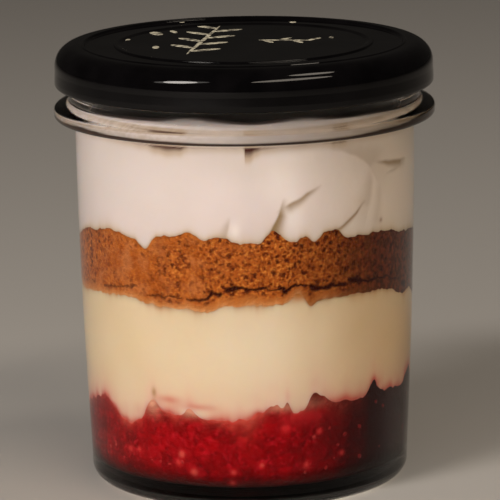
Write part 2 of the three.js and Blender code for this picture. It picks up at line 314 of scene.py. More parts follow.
def stored(tree, name):
    """A number that the piece keeps for each point."""
    attribute = tree.nodes.new("ShaderNodeAttribute")
    attribute.attribute_name = name
    return attribute.outputs["Fac"]


def scaled(tree, value, factor):
    """A number socket times a factor, which is a number or another socket."""
    return node(tree, "ShaderNodeMath", {0: value, 1: factor}, operation="MULTIPLY")


def mixed(tree, below, above, share):
    """One colour laid over another by a share, which is a socket. Colours are three numbers or a socket."""
    mix = tree.nodes.new("ShaderNodeMix")
    mix.data_type = "RGBA"
    colours = [socket for socket in mix.inputs if socket.type == "RGBA"]
    feed(tree, colours, dict(enumerate((below, above))))
    tree.links.new(share, mix.inputs["Factor"])
    return next(socket for socket in mix.outputs if socket.type == "RGBA")


def coat(tree, coats):
    """Lays coats over the shader's own colour, each over the ones before it. A coat has its colour, the name
    of a kept number or a socket that says where it lies, and how much of it shows there."""
    colour = tuple(tree.nodes["Principled BSDF"].inputs["Base Color"].default_value)[:3]
    for coat_colour, where, strength in coats:
        share = stored(tree, where) if isinstance(where, str) else where
        colour = mixed(tree, colour, coat_colour, scaled(tree, share, strength))
    set_shader(tree, {"Base Color": colour})


# What lies under the ring would show dark through its face, so shade is painted on the glass: a dark band,
# thin at the front and thick at the sides, with a dull painted shade over it and faint painted streaks over
# both. Heights are in mm over the ring's lower edge.
dark_band = [
    (-90, 1.3), (-70, 1.2), (-57, 1.5), (-40, 1), (-25, 0.85), (0, 0.7),
    (30, 0.8), (50, 1.4), (67, 2.2), (90, 2.2), (180, 0.8),
]
painted_dull_shade_height = 1.1
marked_height = 3.6
over_edge = (height - ring_low_edge) / mm
on_ring = (radius > shoulder_radius + 0.5 * mm) * (over_edge < marked_height)
band_top = eased(glass_angle, dark_band)
glass_turn = np.radians(glass_angle)
slow_angle = 60 + 25 * np.sin(2 * glass_turn) + 15 * np.cos(3 * glass_turn + 1)
streaks = limited(0.35 + waves(slow_angle, height, 0.45 * mm, 47))
clearer_front = 1 - 0.78 * bell(glass_angle, 0, 35)
keep(
    jar,
    dark_band=limited((band_top - over_edge) / 0.3 + 0.5) * on_ring,
    dull_band=limited((band_top + painted_dull_shade_height - over_edge) / 0.6) * clearer_front * on_ring,
    streaks=streaks * clearer_front * on_ring,
    ring=np.broadcast_to(on_ring, streaks.shape),
)

tree = new_finish(jar, "clear_glass", (0.975, 0.975, 0.945), 0.0)
# The ring's painted shade and painted streaks, laid over the clear glass.
coat(tree, [
    ((0.42, 0.33, 0.2), "streaks", 0.7),
    ((0.28, 0.23, 0.13), "dull_band", 0.65),
    ((0.006, 0.003, 0.002), "dark_band", 1),
])
set_shader(tree, {"Transmission Weight": 1, "IOR": 1.5, "Specular Tint": (0.12, 0.12, 0.12)})
set_shader(tree, {"Roughness": scaled(tree, stored(tree, "ring"), 0.12)})
bumped(tree, cloud(tree, 9 * mm, 1, 0.2, 0.8), 0.03 * mm)
# Light falls onto the food as if the glass weren't there, apart from its tint.
lets_light_in = node(tree, "ShaderNodeBsdfTransparent", {"Color": (0.965, 0.96, 0.94)})
in_shadow = node(tree, "ShaderNodeLightPath", {}, "Is Shadow Ray")
either = {0: in_shadow, 1: tree.nodes["Principled BSDF"].outputs["BSDF"], 2: lets_light_in}
tree.links.new(node(tree, "ShaderNodeMixShader", either), tree.nodes["Material Output"].inputs["Surface"])
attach(jar, "root")
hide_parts("glass_jar")

# Raspberries
# Crushed raspberries in their juice, spooned in first. They fill the jar's rounded bottom, press wetly
# against the glass, and rise and dip where the cheesecake cream was pushed down onto them.


def draws(seed):
    """Repeatable numbers from 0 to 1: each is the last one times 16807, modulo a large prime."""
    state = seed
    while True:
        state = state * 16807 % 2147483647
        yield state / 2147483647


def boundary(level, bumps, far_rise, seed, ragged=()):
    """A boundary between layers, as a function that gives its height at an angle and a share of the radius.
    It has its level in mm, and bell-shaped rises and dips, each with its angle, its height in mm and half
    its width in degrees, which fade by the cube of the share. The far side gets eleven more, up to far_rise
    high. Waves that make it ragged have their height and size in mm and their seed."""
    draw = draws(seed * 7919)
    first, last, count = 100, 262, 11
    bumps = list(bumps)
    for i in range(count):
        at = first + (last - first) * (i + 0.2 + 0.6 * next(draw)) / count
        bumps.append((at, far_rise * (2 * next(draw) - 1), 4 + 5 * next(draw)))

    def height_at(angle, share=1.0):
        rise = sum(high * bell(angle, at, half_width) for at, high, half_width in bumps)
        crumbs = sum(high * waves(angle, 0, size * mm, number) for high, size, number in ragged)
        return (level + rise * share**3 + crumbs * share) * mm

    return height_at


def grainy(angle, height, size, seed):
    """Irregular grain: waves of a size on a slanted lattice, of about half of it on one that slants the
    other way, and of about a third of it on a straight one."""
    slant = angle + 30 * height / mouth_radius
    other_slant = angle - 24 * height / mouth_radius
    coarse = waves(slant, height, size, seed)
    fine = waves(other_slant, height, 0.56 * size, seed + 1)
    finer = waves(angle, height, 0.3 * size, seed + 2)
    return 0.55 * coarse + 0.45 * fine + 0.25 * finer


def drupelets(angle, height):
    """Drupelets scattered one to a lattice cell: the distances to the middles of the nearest and the second
    nearest, as shares of a cell, and a random number from 0 to 1 that belongs to the nearest one."""
    size, seed = 3.2 * mm, 31
    x, y, cell, shape = lattice(angle, height, size)
    rng = np.random.default_rng(seed)
    places = rng.uniform(0.1, 0.9, (*shape, 2))
    numbers = rng.uniform(0, 1, shape)
    first, second, number = np.full(x.shape, 9.0), np.full(x.shape, 9.0), np.zeros(x.shape)
    for up in (-1, 0, 1):
        for over in (-1, 0, 1):
            middle = places[cell(up, over)]
            away = np.hypot(x - over - middle[..., 0], y - up - middle[..., 1])
            closer = away < first
            second = np.where(closer, first, np.minimum(second, away))
            number = np.where(closer, numbers[cell(up, over)], number)
            first = np.where(closer, away, first)
    return first, second, number


into_wall = 0.05 * mm


def spooned(name, low, high, pressed, rows, columns, power=1.0, cap_shares=(0.35, 0.7, 0.88, 0.96)):
    """A layer that fills the jar. low and high give heights for an angle and a share of the radius, and
    pressed how far the side reaches into the glass. The side's rows run from low to high, by a power of the
    share of the way. Gives the piece, and its points' angles, heights and shares of the radius."""
    angle = angles_round(columns)
    at_side = np.concatenate([[0], np.linspace(0.002, 0.998, rows - 1) ** power, [1]])[:, None]
    side_height = low(angle, 1.0) + (high(angle, 1.0) - low(angle, 1.0)) * at_side
    side_radius = inner_radius(side_height) + pressed(angle[None, :], side_height)
    shares = np.array(cap_shares)[:, None]
    low_heights, high_heights = low(angle[None, :], shares), high(angle[None, :], shares[::-1])
    heights = np.concatenate([low_heights, side_height, high_heights])
    radii = np.concatenate([side_radius[:1] * shares, side_radius, side_radius[-1:] * shares[::-1]])
    piece = skin(name, around(angle, radii, heights), low(0.0, 0.0), high(0.0, 0.0))
    share = np.concatenate([shares, np.ones((rows + 1, 1)), shares[::-1]])
    return piece, np.broadcast_to(angle, heights.shape), heights, np.broadcast_to(share, heights.shape)


raspberry_surface = boundary(21.5, [
    (-94.5, -5.3, 16), (-63, 1.3, 4.5), (-48.5, -3.8, 9.5), (-37, 3.3, 4), (-22, 1.8, 2.5),
    (-11, -1, 15.5), (3, 1, 1.6), (9, 2.7, 3.8), (13.8, 2.1, 1.1), (23.6, 3.3, 2.4), (27.4, 1.5, 2.4),
    (32, 1.8, 12), (51, 3.2, 3), (57, 1.6, 16), (80.5, 3.7, 6.5),
], far_rise=3.2, seed=11, ragged=[(0.25, 1.8, 21), (0.25, 0.8, 22)])


def raspberry_floor(angle, share):
    """The jar's floor, which the juice wets."""
    return np.full(np.broadcast(angle, share).shape, foot_height - into_wall)


def pressed_fruit(angle, height):
    """Drupelets bulge against the glass, each highest in its middle, over broader lumps."""
    near, far, _ = drupelets(angle, height)
    dome = limited((far - near) / 0.5) ** 0.5
    lumps = 0.5 + 0.5 * waves(angle, height, 5 * mm, 32)
    return into_wall + (0.12 * dome + 0.2 * lumps) * mm


def shaded_side(angle):
    """1 at the right, where shade is painted into the colours, easing to 0 towards the front and the back.
    """
    return eased(angle, [(8, 0), (25, 0.3), (42, 0.7), (60, 1), (110, 1), (180, 0)])


def patches(angle, height, places, wider=1.0):
    """Round patches that fade as bells. Each place has its angle, its height in mm, half its width in
    degrees, half its height in mm, and its strength in its middle. All are drawn wider by a factor."""
    total = 0
    for at, up, half_width, half_height, strength in places:
        along = (height / mm - up) / (half_height * wider)
        total = total + strength * bell(angle, at, half_width * wider) * np.exp(-(along**2))
    return total


# The tips of fruit that carry a smear of cream, the ones that are brown and dry, and a band of painted
# light, as patches.
creamy_tips = [
    (-37, 23.4, 3.2, 2.4, 1), (-22.5, 22.6, 3, 1.4, 1), (-17.5, 22, 4, 0.8, 0.8), (15, 23.8, 10, 1.3, 0.8),
]
brown_tips = [
    (8.5, 25, 1.8, 1, 1), (13.8, 24.8, 1.6, 1.1, 1), (24.3, 25.6, 3.4, 1.6, 1), (51.5, 26, 3.6, 2, 0.8),
]
bright_band = [(18, 20.8, 8, 2, 1)]
# Single drupelets that lie bare against the glass, each with a painted highlight. Each has its angle, its
# height and radius in mm, and how pale the painted highlight in its middle is.
bare_drupelets = [
    (-49, 11.5, 0.9, 0.4), (-44.5, 11.8, 0.7, 0.4), (-25.6, 12.2, 1.1, 0.9), (-27, 10.2, 0.9, 0.3),
    (-21, 8.2, 1.2, 0.7), (-6, 8.6, 0.8, 0.5), (-6.6, 5.9, 0.8, 0.4), (4.3, 10.2, 0.7, 0.6),
    (21, 9.5, 1, 0.3), (35.7, 11.2, 0.7, 0.4), (26, 17, 0.8, 0.2), (13, 18.5, 1.2, 0.1),
    (120, 11, 1, 0.5), (155, 14, 0.9, 0.6), (200, 9, 1.1, 0.4), (235, 12, 0.9, 0.7), (262, 15, 1, 0.4),
]

raspberries, angle, height, share = spooned(
    "raspberry_layer", raspberry_floor, raspberry_surface, pressed_fruit, 70, 900, power=1.5
)
on_side = share == 1
below_top = raspberry_surface(angle) - height
near, far, number = drupelets(angle, height)
torn = 0.5 + 0.5 * grainy(angle, height, 2.4 * mm, 71)
edge_reach = (0.9 + 2.2 * limited(waves(angle, 0, 9 * mm, 72))) * mm
millimetres_per_degree = np.radians(1) * inner_radius(12 * mm) / mm
glow = patches(angle, height, bright_band) * (0.4 + 0.6 * torn)
pale = np.zeros(angle.shape)
for at, up, size, paleness in bare_drupelets:
    drupelet = patches(angle, height, [(at, up, size / millimetres_per_degree, size, 1)])
    glow = np.maximum(glow, drupelet)
    pale = np.maximum(pale, paleness * limited((drupelet - 0.45) / 0.5))
# Painted shade at the far left, joined to the painted shade at the right.
painted_shade_left = 0.45 * bell(angle, -82, 22)
keep(
    raspberries,
    drupelet=number,
    seam=limited(1 - (far - near) / 0.3),
    creamy_edge=limited(1.6 * torn * np.exp(-below_top / edge_reach)) * on_side,
    creamy_tip=limited(patches(angle, height, creamy_tips) * (0.6 + 0.6 * torn)),
    brown_tip=limited(patches(angle, height, brown_tips) * (0.45 + 0.8 * torn)),
    far_side=np.maximum(limited(1.25 * shaded_side(angle)), painted_shade_left),
    # Painted shade that deepens towards the floor.
    toward_floor=limited(1 - (height - foot_height) / (7 * mm)) ** 2,
    glow=glow * on_side,
    pale_middle=pale * (0.5 + 0.5 * torn) * on_side,
)

tree = new_finish(raspberries, "crushed_raspberry", (0.38, 0.0003, 0.003), 0.35, shine=0.1)
coat(tree, [
    ((0.25, 0.0002, 0.002), "drupelet", 1),
    ((0.13, 0.0001, 0.001), cloud(tree, 5 * mm, 2, 0.45, 0.72), 0.7),
    ((0.52, 0.003, 0.01), cloud(tree, 2.4 * mm, 1, 0.52, 0.75), 0.6),
    ((0.15, 0.0002, 0.001), cloud(tree, 1.1 * mm, 2, 0.46, 0.36), 0.5),
    ((0.62, 0.012, 0.03), cloud(tree, 0.9 * mm, 2, 0.57, 0.67), 0.45),
    ((0.1, 0.0001, 0.001), "seam", 0.25),
    ((0.66, 0.1, 0.07), "creamy_edge", 0.8),
    ((0.8, 0.4, 0.27), "creamy_tip", 0.95),
    ((0.1, 0.022, 0.01), "brown_tip", 0.85),
    # Painted shade at the right and far left, and towards the floor.
    ((0.012, 0.0003, 0.0006), "far_side", 0.97),
    ((0.008, 0.0001, 0.0003), "toward_floor", 0.9),
    # Painted highlights: a brighter band, and bare drupelets with paler middles.
    ((0.85, 0.025, 0.035), "glow", 0.5),
    ((0.9, 0.2, 0.14), "pale_middle", 0.55),
])
bumped(tree, cloud(tree, 1.1 * mm, 2), 0.1 * mm)
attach(raspberries, "root")
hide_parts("raspberries")

# Raspberry seeds
# Pale seeds up to 1.7 mm long, left whole when the berries were crushed. They show where the juice presses
# them against the glass, and take a pink stain from it, most of them a deep one.

seed_count = 80
seed_rng = np.random.default_rng(41)
seed_angle = seed_rng.uniform(-180, 180, seed_count)
seed_rise = seed_rng.uniform(0.0, 1.0, seed_count) ** 1.3
seed_height = 7 * mm + (raspberry_surface(seed_angle) - 8.5 * mm) * seed_rise
seed_tilt = seed_rng.uniform(0, np.pi, seed_count)
seed_size = seed_rng.uniform(0.4, 1.0, seed_count)
seed_stain = seed_rng.uniform(0, 1, seed_count) ** 0.4
half_length, half_width, half_depth = 0.85 * mm, 0.68 * mm, 0.5 * mm
seed_reach = 0.36 * mm
turns, bands = 10, 5
round_it = np.arange(turns) * 2 * np.pi / turns
up_it = (np.arange(1, bands) / bands - 0.5) * np.pi


def seed_points(across, out, up):
    """Each seed is a squashed ball, given by points from -1 to 1: long along its tilt in the wall's plane,
    and thin through the wall, into which it reaches a little further than the juice does."""
    start, rise, tilt, size = np.array([seed_angle, seed_height, seed_tilt, seed_size])[..., None, None]
    across, out, up = across * half_width * size, out * half_depth * size, up * half_length * size
    height = rise - across * np.sin(tilt) + up * np.cos(tilt)
    middle = inner_radius(height) + seed_reach - half_depth * size
    angle = start + np.degrees((across * np.cos(tilt) + up * np.sin(tilt)) / middle)
    return around(angle, middle - out, height)


seed_rings = seed_points(
    np.outer(np.cos(up_it), np.cos(round_it)),
    np.outer(np.cos(up_it), np.sin(round_it)),
    np.outer(np.sin(up_it), np.ones(turns)),
)
seed_poles = seed_points(np.zeros((1, 2)), np.zeros((1, 2)), np.array([[-1, 1]]))[:, 0]
seeds = skins("raspberry_seeds", seed_rings, seed_poles)
points_each = turns * (bands - 1) + 2
keep(
    seeds,
    stain=np.repeat(seed_stain, points_each),
    far_side=np.repeat(shaded_side(seed_angle), points_each),
)

tree = new_finish(seeds, "stained_seed", (0.62, 0.1, 0.08), 0.4, shine=0.2)
coat(tree, [
    ((0.4, 0.003, 0.008), "stain", 1),
    ((0.3, 0.01, 0.012), cloud(tree, 0.7 * mm, 2), 0.6),
    # Painted shade on the seeds at the right.
    ((0.07, 0.0006, 0.001), "far_side", 0.85),
])
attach(seeds, "root")

# Cheesecake cream
# Pale yellow cream cheese filling, smoothed down over the fruit. Juice has tinted it pink along its lower
# edge, and the damp sponge has tinted it tan along its upper edge.

overlap = 0.12 * mm


def just_under(surface):
    """The floor of the layer above a surface: a little below it, so that no gap shows."""
    return lambda angle, share=1.0: surface(angle, share) - overlap


sponge_underside = boundary(46.8, [
    (-80, -1.4, 16), (-45, 0.6, 5), (-27, -1.2, 12), (-15, -1.2, 4), (17.5, 2.3, 2.5),
    (22.5, -0.8, 1.5), (37.5, 0.5, 15.5), (70.5, -2.7, 8.5), (89, -5.4, 9),
], far_rise=1.6, seed=5, ragged=[(0.2, 1.6, 23), (0.2, 0.7, 24)])


def pressed_cream(angle, height):
    """Cream lies flat against the glass, apart from a few long shallow dents."""
    return into_wall + 0.1 * mm * (1 + waves(angle, height, 9 * mm, 33))


cheesecake, angle, height, share = spooned(
    "cheesecake_layer", just_under(raspberry_surface), sponge_underside, pressed_cream, 60, 600
)
over_fruit = height - raspberry_surface(angle)
under_sponge = sponge_underside(angle) - height
fringe = 0.9 + 0.4 * waves(angle, height, 2.2 * mm, 51)
streaks = 0.75 + 0.35 * waves(angle, 0.5 * height, 2.3 * mm, 52)
juice_smears = patches(angle, height, [(-30, 24.6, 4.5, 0.9, 1), (-19, 23.4, 6, 0.7, 0.8)])
tan_specks = patches(angle, height, [(-36.3, 25.8, 1, 1.1, 1), (-36.6, 23.4, 1.2, 0.8, 0.8)])
pale_middle = patches(angle, height, [(2, 37, 34, 14, 1)])
soaked_rise = patches(angle, height, [(17.8, 48.9, 4.5, 1.8, 1)])
clean_tips = patches(angle, height, creamy_tips, wider=1.5)
clean_tips += patches(angle, height, [(24.3, 26.6, 5, 3, 1), (9.5, 25.6, 4, 2.5, 1)])
juicy = 1.25 * np.exp(-over_fruit / (1.5 * mm)) * fringe * (1 - 0.85 * limited(clean_tips))
keep(
    cheesecake,
    juice=limited(juicy + 0.55 * juice_smears),
    pale=pale_middle,
    blush=limited(np.exp(-over_fruit / (4 * mm))),
    crumb_stain=limited(streaks * np.exp(-under_sponge / (0.9 * mm * streaks))),
    soaked_rise=soaked_rise,
    far_side=shaded_side(angle),
    speck=limited(tan_specks) * (share == 1),
)


def milky(tree, spread, reach):
    """Light goes a little way into cream: as far as reach times the spread of each of its three colours."""
    set_shader(tree, {"Subsurface Weight": 0.6, "Subsurface Radius": spread, "Subsurface Scale": reach})


tree = new_finish(cheesecake, "cheesecake_filling", (0.775, 0.63, 0.42), 0.5, shine=0.1)
milky(tree, (1.0, 0.7, 0.4), 3 * mm)
coat(tree, [
    ((0.8, 0.66, 0.46), cloud(tree, 14 * mm, 1), 1),
    ((0.85, 0.76, 0.63), "pale", 0.6),
    ((0.93, 0.61, 0.55), "blush", 0.55),
    # Painted shade at the right, as a darker tan tint.
    ((0.73, 0.47, 0.22), "far_side", 0.45),
    ((0.62, 0.09, 0.07), "juice", 0.9),
    ((0.5, 0.19, 0.05), "crumb_stain", 0.9),
    ((0.5, 0.17, 0.035), "soaked_rise", 1),
    ((0.4, 0.2, 0.04), "speck", 0.7),
])
bumped(tree, cloud(tree, 5 * mm, 2), 0.05 * mm)
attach(cheesecake, "root")
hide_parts("cheesecake_cream")

# Sponge cake
# A golden brown disc of sponge with a fine open crumb. Its pores show against the glass. Its underside has
# soaked up cream and parted from the drier crumb above, and a dark crack runs between the two.

sponge_surface = boundary(60.4, [
    (-90, -4.1, 12), (-55, 1.2, 7), (-37.5, -2.2, 2.5), (-29, 1.4, 7), (-20, 2.4, 4.5), (-9.5, 2, 4.5),
    (5, -2.5, 3), (7.5, 3.7, 5.5), (20.5, 1.5, 2.5), (28, 1.95, 2), (30.5, 1.35, 2), (33, 1.95, 2),
    (69, -1.6, 9), (90, -3.6, 14.5),
], far_rise=1.8, seed=8, ragged=[(0.2, 1.5, 25), (0.18, 0.7, 26)])
# Each stretch of the crack has half its width in mm and its line of (angle, height in mm) points.
sponge_cracks = [
    (0.45, [(-59.8, 48.1), (-53, 48.6), (-48, 49.2), (-42, 49.7)]),
    (0.35, [(-37.6, 48.1), (-30, 47.9), (-27, 48.2), (-22.6, 48)]),
    (0.65, [(-21.5, 47.7), (-17.5, 47.7), (-14, 48.3), (-12.4, 49.8), (-11, 49.6), (-9.6, 49.3)]),
    (0.65, [(-7, 50.4), (-2.6, 50.7), (5, 50.5), (12.4, 50.2), (13.1, 49.4)]),
    (0.4, [(13.4, 49.6), (15.3, 50.6), (18.6, 50.9), (21, 50.5)]),
    (0.75, [(23, 50.1), (28, 49.8), (31, 50), (36.3, 49.8)]),
    (0.75, [(38, 50.7), (41, 50.7)]),
    (0.45, [(41, 50.4), (46, 49.5), (56.7, 49.5), (64, 48)]),
    (0.9, [(69.5, 46), (72, 45.6)]),
    (0.5, [(112, 48.6), (124, 49.6), (141, 48.8), (152, 49.8)]),
    (0.5, [(200, 49.4), (218, 48.8), (239, 49.6)]),
]
crack_level = 50 * mm


def past_line(angle, height, line, level):
    """Distances to a line of (angle, height in mm) points in the wall's plane, whose radius is taken at a
    level. They are positive to the right of its direction and negative to its left. Also gives the share of
    the line's length at which each point lies."""
    line = np.array(line, float)
    metres_per_degree = np.radians(1) * inner_radius(level)
    x, y = line[:, 0] * metres_per_degree, line[:, 1] * mm
    px = (turned_from(angle, line[0, 0]) + line[0, 0]) * metres_per_degree
    lengths = np.hypot(np.diff(x), np.diff(y))
    starts = np.append(0, np.cumsum(lengths))
    closest = np.full(np.broadcast(angle, height).shape, 9.0)
    side, run = np.ones(closest.shape), np.zeros(closest.shape)
    for i, length in enumerate(lengths):
        dx, dy = (x[i + 1] - x[i]) / length, (y[i + 1] - y[i]) / length
        along = np.clip((px - x[i]) * dx + (height - y[i]) * dy, 0, length)
        away = np.hypot(px - x[i] - along * dx, height - y[i] - along * dy)
        turn = (px - x[i]) * dy - (height - y[i]) * dx
        nearer = away < closest
        side = np.where(nearer, np.where(turn < 0, -1, 1), side)
        run = np.where(nearer, starts[i] + along, run)
        closest = np.minimum(closest, away)
    return closest * side, run / starts[-1]


def crack_nearness(angle, height):
    """1 in the middle of a crack and 0 outside it. Crumbs make its outline uneven, and its width comes and
    goes."""
    wobble = 0.35 * mm * waves(angle, height, 1.3 * mm, 34) + 0.15 * mm * waves(angle, height, 0.6 * mm, 37)
    varied = (1 + 0.5 * waves(angle, 0, 3 * mm, 38)) * mm
    nearness = 0
    for half_width, line in sponge_cracks:
        away, _ = past_line(angle, height + wobble, line, crack_level)
        nearness = np.maximum(nearness, 1 - np.abs(away) / (half_width * varied))
    return nearness


def smeared(angle, height):
    """1 where the crumb was pressed smooth against the glass: mostly at the front left, and in patches."""
    left = bell(angle, -50, 24)
    beside = 0.6 * bell(angle, -18, 4)
    return limited(0.75 * left + beside + 0.4 * waves(angle, height, 5 * mm, 35))


def pressed_crumb(angle, height):
    """The crumb's walls reach into the glass, and its cracks and the dips between crumbs stay back."""
    dips = 0.04 * mm * (1 + grainy(angle, height, 1.2 * mm, 61)) * (1 - 0.7 * smeared(angle, height))
    return into_wall + 0.2 * mm - dips - 0.14 * mm * crack_nearness(angle, height)


sponge, angle, height, share = spooned(
    "sponge_layer", just_under(sponge_underside), sponge_surface, pressed_crumb, 70, 1080
)
on_side = share == 1
over_underside = height - sponge_underside(angle)
under_top = sponge_surface(angle) - height
skin_depth = (1.4 + 0.7 * waves(angle, 0, 6 * mm, 39)) * mm
streak = 0.5 + 0.5 * waves(angle, 0.3 * height, 1.3 * mm, 44)
smear, painted_shade_share = smeared(angle, height), shaded_side(angle)
damp = limited(1.5 - over_underside / skin_depth)
top_skin = limited(1.8 - under_top / (0.9 * mm)) * smear
lobe_shade = np.exp(-under_top / (0.7 * mm)) * limited(2 * waves(angle, 0, 4 * mm, 40))
creamy = np.exp(-over_underside / (0.5 * mm)) * (0.4 + streak) * (1 - painted_shade_share)
filled_left = 1 - 0.5 * bell(angle, -45, 22)
keep(
    sponge,
    open_crumb=1 - np.maximum(0.85 * smear, np.maximum(damp, top_skin)),
    crack=limited(1.6 * crack_nearness(angle, height)) * filled_left * on_side,
    damp=damp * (1 - 0.75 * painted_shade_share),
    creamy=limited(creamy),
    smear=smear,
    top_skin=top_skin,
    far_side=limited(1.2 * painted_shade_share),
    lobe_shade=lobe_shade * on_side,
)


def pores(tree, size, reach):
    """Uneven pits scattered about size apart: 1 in the middle of each, falling to 0 at reach times size."""
    where = node(tree, "ShaderNodeTexCoord", {}, "Object")
    noise = node(tree, "ShaderNodeTexNoise", {"Vector": where, "Scale": 1 / (0.6 * size)}, "Color")
    places = {0: noise, 1: (0.9 * size,) * 3, 2: where}
    pushed = node(tree, "ShaderNodeVectorMath", places, operation="MULTIPLY_ADD")
    cells = node(tree, "ShaderNodeTexVoronoi", {"Vector": pushed, "Scale": 1 / size})
    return node(tree, "ShaderNodeMapRange", {"Value": cells, "From Min": reach, "From Max": 0.5 * reach})


tree = new_finish(sponge, "sponge_crumb", (0.36, 0.08, 0.009), 0.75, shine=0.1)
open_crumb = stored(tree, "open_crumb")
smears = scaled(tree, stored(tree, "smear"), cloud(tree, 3.5 * mm, 2, 0.42, 0.62))
# The colours of the painted shade at the right.
painted_shade_crumb = mixed(tree, (0.02, 0.002, 0.001), (0.12, 0.02, 0.006), cloud(tree, 1.4 * mm, 3, 0.44, 0.6))
coat(tree, [
    ((0.5, 0.13, 0.018), cloud(tree, 2.5 * mm, 2), 1),
    ((0.74, 0.27, 0.045), scaled(tree, cloud(tree, 0.6 * mm, 2, 0.5, 0.66), open_crumb), 0.75),
    # Painted shade in the pits between crumbs.
    ((0.17, 0.03, 0.004), scaled(tree, cloud(tree, 0.9 * mm, 2, 0.48, 0.34), open_crumb), 0.65),
    ((0.58, 0.21, 0.07), smears, 0.6),
    # Painted shade in the pores.
    ((0.13, 0.015, 0.002), scaled(tree, pores(tree, 1.1 * mm, 0.46), open_crumb), 0.75),
    ((0.06, 0.005, 0.001), scaled(tree, pores(tree, 1.7 * mm, 0.44), open_crumb), 0.9),
    ((0.54, 0.16, 0.022), "top_skin", 0.7),
    ((0.56, 0.19, 0.04), "damp", 0.8),
    ((0.74, 0.42, 0.2), "creamy", 0.55),
    # Painted shade at the right.
    (painted_shade_crumb, "far_side", 0.88),
    ((0.12, 0.014, 0.002), "lobe_shade", 0.7),
    # Painted shade in the crack.
    ((0.03, 0.003, 0.001), "crack", 1),
])
bumped(tree, cloud(tree, 0.8 * mm, 3), 0.15 * mm)
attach(sponge, "root")
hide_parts("sponge_cake")

# Whipped cream
# Lightly sweetened whipped cream, dropped on in spoonfuls and spread in broad strokes. Where two strokes
# meet they leave a curved fold against the glass. Its top stops short of the lid in soft waves.

cream_top = boundary(88, [
    (-85, -3, 28), (-17, 0.7, 9), (3, -0.5, 6), (18, 0.3, 7), (42, -0.5, 8), (80, -3, 26),
], far_rise=0.9, seed=3)
# Each fold has its line of (angle, height in mm) points, how dark the painted shade in its crease is, how
# dark the painted shade beside it is, how far that reaches in mm, to the right of the line or below 0 to its
# left, and in mm how soft its edge is.
cream_folds = [
    ([(6.8, 61.5), (8.9, 64.2), (11, 66.8), (12.9, 70.8)], 0.1, 1, 2.6, 0.3),
    ([(13.4, 68.6), (17.3, 69.8), (21, 71.3), (24.7, 72.4), (27.2, 73.1)], 0.3, 0.8, 1.6, 0.3),
    ([(33, 62.3), (39, 64.5), (41, 65.3), (44, 67.3), (46, 68.3)], 0.8, 0.35, 1, 0.3),
    ([(47, 66), (48.5, 69), (49, 72), (48.3, 74.3), (46.7, 75.8)], 0, 0.3, -4, 1.2),
    ([(48.3, 74.3), (46.7, 75.8), (44.6, 77), (41, 78.3), (36.7, 79.3), (28.3, 81)], 0, 0.35, 6, 0.6),
    ([(68.5, 75), (61, 75.5), (54, 75.9), (48.3, 76.2)], 0.25, 0.9, -1.8, 0.5),
    ([(69, 74), (65, 73.3), (57.8, 72.8), (54.1, 72.3)], 0.1, 0.35, 1, 0.5),
    ([(49, 62), (51, 67), (52, 71), (51, 75)], 0, 0.25, 2.6, 2),
    ([(-7.2, 61.6), (-6.2, 64), (-5.2, 67)], 0, 0.4, -2, 0.4),
    ([(150, 64), (158, 68), (161, 73), (156, 78)], 0.4, 0.5, 1.5, 0.3),
    ([(248, 65), (242, 69), (232, 72), (220, 73)], 0.4, 0.5, 1.5, 0.3),
]
fold_level = 70 * mm
crease_width = 0.3 * mm
# Under the ring the cream parts from the glass here and there, and the gap is painted in as shade. It
# reaches down to a height in mm at each angle, and its painted shade is as dark as the share at each angle
# says.
parted_down_to = [
    (-90, 82.2), (-60, 82.1), (-45, 82), (-36, 81.6), (-31.5, 80.9), (-27, 80.6), (-23, 80.9),
    (-20.5, 81.6), (-12, 81.8), (-4, 81.8), (-0.5, 81.8), (0, 79.6), (1.5, 79.6), (3.5, 80.7),
    (6, 81.4), (14, 81.8), (26, 82), (32, 81.6), (34.5, 81.4), (37, 81.6), (42, 82.1), (60, 82.1),
    (90, 82.2), (130, 81.4), (160, 82), (200, 81.4), (230, 82),
]
parted_dark = [
    (-60, 0.4), (-36, 0.7), (-31, 1), (-21, 1), (-19, 0.45), (-1, 0.4), (0, 1), (2.5, 1), (6, 0.7),
    (12, 0.45), (30, 0.4), (32, 0.9), (36, 0.9), (38, 0.3), (90, 0.3), (130, 0.8), (160, 0.4),
    (200, 0.8), (230, 0.4),
]
parted_up_to = 82.2
thin_up_to = 83.6


def cream_surface(angle, share=1.0):
    """The cream's own top: it climbs up the glass by the sixth power of the share of the radius, and inside
    that edge it lies in spooned waves of three and of five to a turn."""
    turn = np.radians(angle)
    swirl = 1.1 * np.sin(3 * turn + 5 * share) + 0.7 * np.sin(5 * turn - 7 * share + 1)
    climb = 2.2 * (1 - share**6)
    return cream_top(angle, share) + (swirl * share * (1 - share * share) * 2 - climb) * mm


def fold_marks(angle, height):
    """The creases' painted shade, as thin ridges along their lines, and the soft painted shade that falls
    off beside them and narrows along them. Both fade out at the lines' ends."""
    crease, shade = 0, 0
    wobble = 0.2 * mm * waves(angle, height, 2.5 * mm, 42)
    for line, dark, beside, reach, softness in cream_folds:
        away, along = past_line(angle, height + wobble, line, fold_level)
        fade = limited(np.minimum(5 * along + 0.5, 2.5 - 2.5 * along))
        crease = np.maximum(crease, dark * fade * np.exp(-((away / crease_width) ** 2)))
        away = away * np.sign(reach)
        onto = limited(0.5 + away / (softness * mm))
        narrowed = abs(reach) * mm * (1 - 0.7 * along)
        fall_off = np.exp(-((np.maximum(away, 0) / narrowed) ** 2.5))
        shade = np.maximum(shade, beside * fade * onto * fall_off)
    return crease, shade


